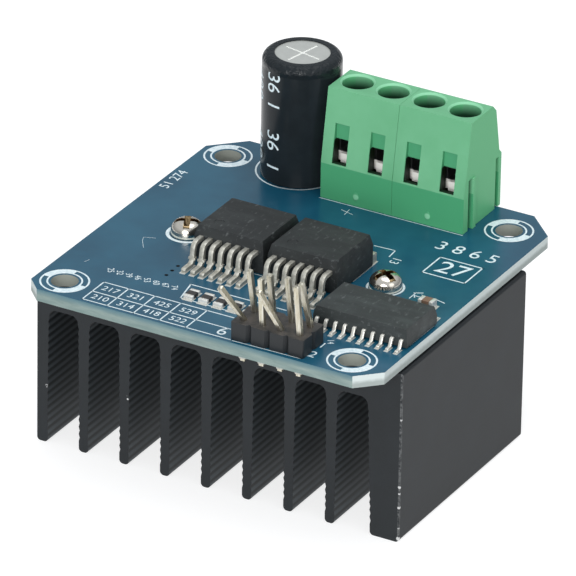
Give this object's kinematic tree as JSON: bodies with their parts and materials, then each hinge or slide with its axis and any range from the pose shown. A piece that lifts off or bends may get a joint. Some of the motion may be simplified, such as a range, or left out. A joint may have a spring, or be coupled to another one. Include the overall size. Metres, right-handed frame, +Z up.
{
  "type": "dc motor driver module",
  "caption": "Blue motor driver board on a black finned heatsink, with power chips, a pin header, green screw terminals and an upright electrolytic capacitor.",
  "frame": {"origin": "centre of the rectangle of the four mounting holes, on the underside of the circuit board", "axes": "+Z up through the components, -Y towards the edge with the pin header, +Y towards the screw terminals, +X to the right seen from the header"},
  "size_m": [0.0505, 0.0501, 0.0413],
  "materials": {
    "blue_board": "glossy blue solder mask on glass-epoxy board",
    "tinned_copper": "satin tin",
    "black_pad": "matte",
    "black_anodised": "matte black anodised",
    "nickel_steel": "bright nickel plate",
    "chip_moulding": "matte moulded epoxy",
    "black_plastic": "matte",
    "plated_brass": "pale flash gold over brass",
    "green_plastic": "satin",
    "bare_can": "satin bare",
    "black_sleeve": "glossy shrink sleeve",
    "black_rubber": "matte",
    "resistor_black": "glazed top",
    "brown_ceramic": "matte",
    "solder": "bright solder",
    "zinc_steel": "bright zinc plate"
  },
  "bodies": {
    "module": {"circuit_board": "blue_board", "component_lands": "tinned_copper", "thermal_pad": "black_pad", "heatsink": "black_anodised", "heatsink_screw_left": "nickel_steel", "heatsink_screw_right": "nickel_steel", "bridge_left_body": "chip_moulding", "bridge_left_tab": "tinned_copper", "bridge_left_leads": "tinned_copper", "bridge_right_body": "chip_moulding", "bridge_right_tab": "tinned_copper", "bridge_right_leads": "tinned_copper", "buffer_body": "chip_moulding", "buffer_leads": "tinned_copper", "header_housing": "black_plastic", "header_pins": "plated_brass", "terminal_housing_left": "green_plastic", "terminal_housing_right": "green_plastic", "contact_bars": "tinned_copper", "capacitor_can": "bare_can", "capacitor_sleeve": "black_sleeve", "capacitor_bung": "black_rubber", "capacitor_leads": "tinned_copper", "resistor_bodies": "resistor_black", "resistor_ends": "tinned_copper", "ceramic_capacitor_body": "brown_ceramic", "ceramic_capacitor_ends": "tinned_copper", "header_solder": "solder", "terminal_solder": "solder", "capacitor_solder": "solder"},
    "screw_1": {"clamp_screw_1": "zinc_steel"},
    "cage_1": {"clamp_cage_1": "zinc_steel"},
    "screw_2": {"clamp_screw_2": "zinc_steel"},
    "cage_2": {"clamp_cage_2": "zinc_steel"},
    "screw_3": {"clamp_screw_3": "zinc_steel"},
    "cage_3": {"clamp_cage_3": "zinc_steel"},
    "screw_4": {"clamp_screw_4": "zinc_steel"},
    "cage_4": {"clamp_cage_4": "zinc_steel"}
  },
  "joints": [
    {"name": "clamp_screw_1_turn", "type": "hinge", "parent": "module", "child": "screw_1", "pos_m": [-0.002, 0.02045, 0.0136], "axis": [0, 0, -1], "range_deg": [0, 1200]},
    {"name": "clamp_cage_1_lift", "type": "slide", "parent": "module", "child": "cage_1", "axis": [0, 0, 1], "range_m": [0, 0.0015]},
    {"name": "clamp_screw_2_turn", "type": "hinge", "parent": "module", "child": "screw_2", "pos_m": [0.003, 0.02045, 0.0136], "axis": [0, 0, -1], "range_deg": [0, 1200]},
    {"name": "clamp_cage_2_lift", "type": "slide", "parent": "module", "child": "cage_2", "axis": [0, 0, 1], "range_m": [0, 0.0015]},
    {"name": "clamp_screw_3_turn", "type": "hinge", "parent": "module", "child": "screw_3", "pos_m": [0.008, 0.02045, 0.0136], "axis": [0, 0, -1], "range_deg": [0, 1200]},
    {"name": "clamp_cage_3_lift", "type": "slide", "parent": "module", "child": "cage_3", "axis": [0, 0, 1], "range_m": [0, 0.0015]},
    {"name": "clamp_screw_4_turn", "type": "hinge", "parent": "module", "child": "screw_4", "pos_m": [0.013, 0.02045, 0.0136], "axis": [0, 0, -1], "range_deg": [0, 1200]},
    {"name": "clamp_cage_4_lift", "type": "slide", "parent": "module", "child": "cage_4", "axis": [0, 0, 1], "range_m": [0, 0.0015]}
  ],
  "couplings": [
    {"joint": "clamp_screw_1_turn", "follows": "clamp_cage_1_lift", "rad_per_m": 13963},
    {"joint": "clamp_screw_2_turn", "follows": "clamp_cage_2_lift", "rad_per_m": 13963},
    {"joint": "clamp_screw_3_turn", "follows": "clamp_cage_3_lift", "rad_per_m": 13963},
    {"joint": "clamp_screw_4_turn", "follows": "clamp_cage_4_lift", "rad_per_m": 13963}
  ]
}
